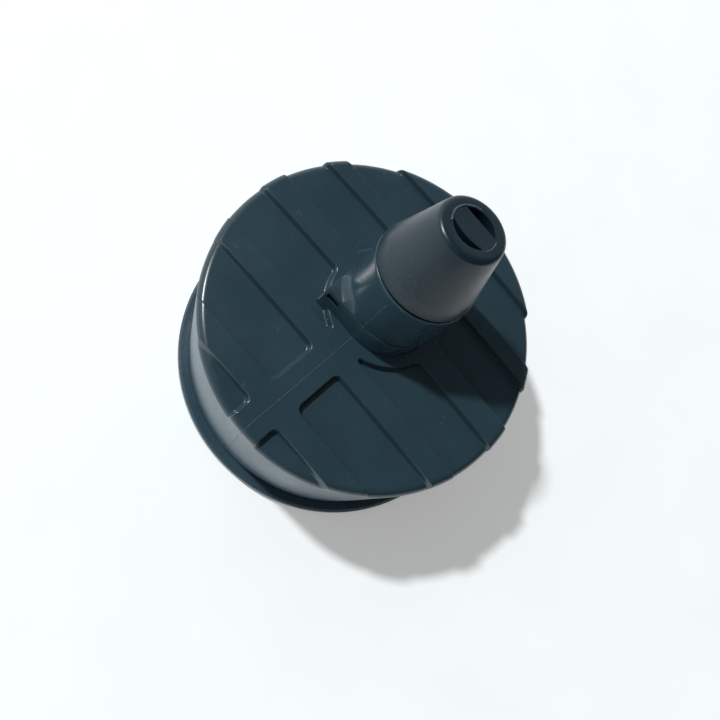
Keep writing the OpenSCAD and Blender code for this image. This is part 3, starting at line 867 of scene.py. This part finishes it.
# %% Nozzle
CONE_R, TIP_R, CONE_H, CONE_WALL = 6.3, 3.95, 9.15, 0.95
TIP_EDGE, TIP_WALL, TIP_SINK = 0.7, 1.05, 0.02
RIM_LOW, RIM_ROUND = -0.04, 0.14
SPIGOT_R, SPIGOT_BORE, SPIGOT_END = 4.1, 3.17, -9.6
PIPE_R, PIPE_TOP, HOLLOW_LOW = 3.72, 3.8, 1.0
SLOT_ROUND, BRIDGE = 2.5, 2.4


def cone_at(s):
    return CONE_R + (TIP_R - CONE_R) * s / CONE_H


def make_nozzle():
    edge_s = CONE_H - TIP_EDGE
    edge_r = cone_at(edge_s) - TIP_EDGE
    roof_s = CONE_H - TIP_WALL
    section = [(SPIGOT_BORE, SPIGOT_END), (SPIGOT_R, SPIGOT_END), (SPIGOT_R, 0.28), (5.0, 0.28)]
    section += [(5.3, RIM_LOW)]
    section += rounded(CONE_R - RIM_ROUND, RIM_LOW + RIM_ROUND, RIM_ROUND, -90, 0, 5)
    section += [(cone_at(s), s) for s in (2.0, 4.0, 6.0)]
    section += rounded(edge_r, edge_s, TIP_EDGE, 14, 90, 8)
    section += [(SLOT_ROUND + 0.25, CONE_H), (SLOT_ROUND + 0.12, CONE_H - TIP_SINK), (0, CONE_H - TIP_SINK)]
    section += [(0, roof_s), (cone_at(roof_s) - CONE_WALL, roof_s)]
    section += [(cone_at(HOLLOW_LOW) - CONE_WALL, HOLLOW_LOW), (PIPE_R, HOLLOW_LOW), (PIPE_R, PIPE_TOP)]
    section += [(SPIGOT_BORE, PIPE_TOP), (SPIGOT_BORE, SPIGOT_END)]
    bm = turned(section)
    bmesh.ops.transform(bm, matrix=LEAN, verts=bm.verts)
    return finish_piece(bm, "nozzle", "nozzle", nozzle_plastic, ["nozzle_cone"], corner=38)


nozzle = make_nozzle()

# %% [markdown]
# ## The pouring slots
# The two pouring slots are the parts of a round hole that a straight bridge leaves open.
# Each cutter is a disc that a plane cuts off at the bridge. Its two sharp corners are
# bevelled, and it is pushed up through the tip. The nearer slot has a bowed side.

# %% Pouring slots
def slot_half(side, bow):
    bm = bmesh.new()
    bmesh.ops.create_circle(bm, cap_ends=True, segments=96, radius=SLOT_ROUND)
    bmesh.ops.translate(bm, vec=(0, 0, CONE_H - TIP_WALL - 0.4), verts=bm.verts)
    bmesh.ops.bisect_plane(bm, geom=bm.verts[:] + bm.edges[:] + bm.faces[:], clear_outer=True,
                           plane_co=(0, side * BRIDGE / 2, 0), plane_no=(0, -side, 0))
    straight = [e for e in bm.edges if all(abs(abs(v.co.y) - BRIDGE / 2) < 0.001 for v in e.verts)]
    reach = math.sqrt(SLOT_ROUND ** 2 - BRIDGE ** 2 / 4)
    bmesh.ops.subdivide_edges(bm, edges=straight, cuts=18)
    for v in bm.verts:
        if abs(abs(v.co.y) - BRIDGE / 2) < 0.001:
            v.co.y += side * bow * (1 - min(abs(v.co.x / reach), 1) ** 2)
    corners = [v for v in bm.verts if abs(abs(v.co.y) - BRIDGE / 2) < 0.03 and abs(v.co.x) > reach - 0.01]
    bmesh.ops.bevel(bm, geom=corners, offset=0.28, offset_type="OFFSET", segments=5, profile=0.5,
                    affect="VERTICES", material=-1, clamp_overlap=True)
    made = bmesh.ops.extrude_face_region(bm, geom=bm.faces[:])["geom"]
    bmesh.ops.translate(bm, vec=(0, 0, 3), verts=[g for g in made if isinstance(g, bmesh.types.BMVert)])
    bmesh.ops.transform(bm, matrix=LEAN, verts=bm.verts)
    return bm


for side, bow in ((1, 0.0), (-1, 0.42)):
    cut(nozzle, "pouring slot", slot_half(side, bow))

# %% [markdown]
# ## A thread of plastic
# Flash and burrs are threads, drawn here 0.1 to 0.3 mm thick so that they show, and sunk
# in the surface they lie on. A curve with a round bevel makes one along any path. Slow
# sines sway the path and swell its radius a little, since plastic that creeps out of a
# tool is never quite straight or even.

# %% Thread helper
def thread(name, path, radius, finish, body="cap", step=0.35):
    dense = []
    for a, b in zip(path, path[1:]):
        count = max(2, int((b - a).length / step))
        dense += [a.lerp(b, i / count) for i in range(count)]
    dense.append(path[-1])
    curve = bpy.data.curves.new(name, "CURVE")
    curve.dimensions = "3D"
    curve.bevel_depth = radius * MM
    curve.bevel_resolution = 2
    curve.use_fill_caps = True
    spline = curve.splines.new("POLY")
    spline.points.add(len(dense) - 1)
    for i, (point, place) in enumerate(zip(spline.points, dense)):
        sway = 0.012 * math.sin(i * 0.9) + 0.015 * math.sin(i * 0.31)
        point.co = ((place.x + sway) * MM, place.y * MM, place.z * MM, 1)
        point.radius = 0.85 + 0.3 * math.sin(i * 2.3) * math.sin(i * 0.37)
    holder = bpy.data.objects.new(name + " path", curve)
    bpy.context.scene.collection.objects.link(holder)
    seen = bpy.context.evaluated_depsgraph_get()
    mesh = bpy.data.meshes.new_from_object(holder.evaluated_get(seen))
    bpy.data.objects.remove(holder)
    mesh.shade_smooth()
    mesh.materials.clear()
    mesh.materials.append(finish)
    print(name, "has", len(dense), "points")
    return tie(name, mesh, body)


# %% [markdown]
# ## The parting line
# Where the two halves of the mould met, the plastic crept a few hundredths of a
# millimetre into the joint and left a thin raised thread. It runs up the drum's wall,
# round its edge, along the spine, and up the front of the plinth and tube.

# %% Parting line
def parting_path():
    up_wall = (0.02, 0.25, 0.5, 0.75, 1.0)
    path = [(FOOT_R + (RIM_R - FOOT_R) * t, FOOT_Z + (18.0 - FOOT_Z) * t) for t in up_wall]
    edge_z = dome(FACE_R, 0) - EDGE_R + RIB_H
    for turn in (0, 22, 45, 68, 90):
        a = math.radians(turn)
        path.append((FACE_R + EDGE_R * math.cos(a), edge_z + EDGE_R * math.sin(a)))
    path += [(-y, dome(0, y) + RIB_H) for y in (-18, -15.5, -13, -10.5, -8, -6, -4)]
    points = [Vector((0, -r, z)) for r, z in path]
    front = CREASE_Y - PLINTH_R
    points.append(Vector((0, front, crease_at(front) - 0.05)))
    points += [LEAN @ Vector((0, -TUBE_R, s)) for s in (-TUBE_H + 0.15, -5.5, -3.5, -1.5, -0.45)]
    return points


parting_line = thread("parting_line", parting_path(), 0.042, flash_plastic)

# %% [markdown]
# ## Burrs round the slot and on the tip
# The slot's edge carries a small burr where its core pin shut against the wall. On the
# tip, the round that the slots are cut in has a ragged lip on two stretches, a long one
# and a short one across from it, where the same thing happened.

# %% Burrs
def slot_edge():
    front = CREASE_Y - PLINTH_R - 0.02
    left, right = SLOT_X - SLOT_W / 2 - 0.05, SLOT_X + SLOT_W / 2 + 0.05
    top, bottom = SLOT_TOP + 0.05, SLOT_TOP - SLOT_H + 0.1
    corners = ((left, bottom), (left, top - 0.15), (left + 0.12, top),
               (right - 0.1, top), (right, top - 0.12), (right, bottom + 0.2))
    return [Vector((x, front, z)) for x, z in corners]


def tip_lip(start, end, size):
    lip = []
    for degrees in range(start, end, 4):
        a = math.radians(degrees)
        wave = 0.03 * math.sin(degrees * 0.21)
        lip.append(LEAN @ Vector((size * math.cos(a), size * math.sin(a), CONE_H - TIP_SINK + wave)))
    return lip


slot_burr = thread("slot_burr", slot_edge(), 0.055, flash_plastic, step=0.12)
tip_burr = thread("tip_burr", tip_lip(112, 222, SLOT_ROUND + 0.18), 0.14, flash_plastic,
                  "nozzle", step=0.12)
far_burr = thread("far_burr", tip_lip(-22, 26, SLOT_ROUND + 0.24), 0.08, flash_plastic,
                  "nozzle", step=0.12)
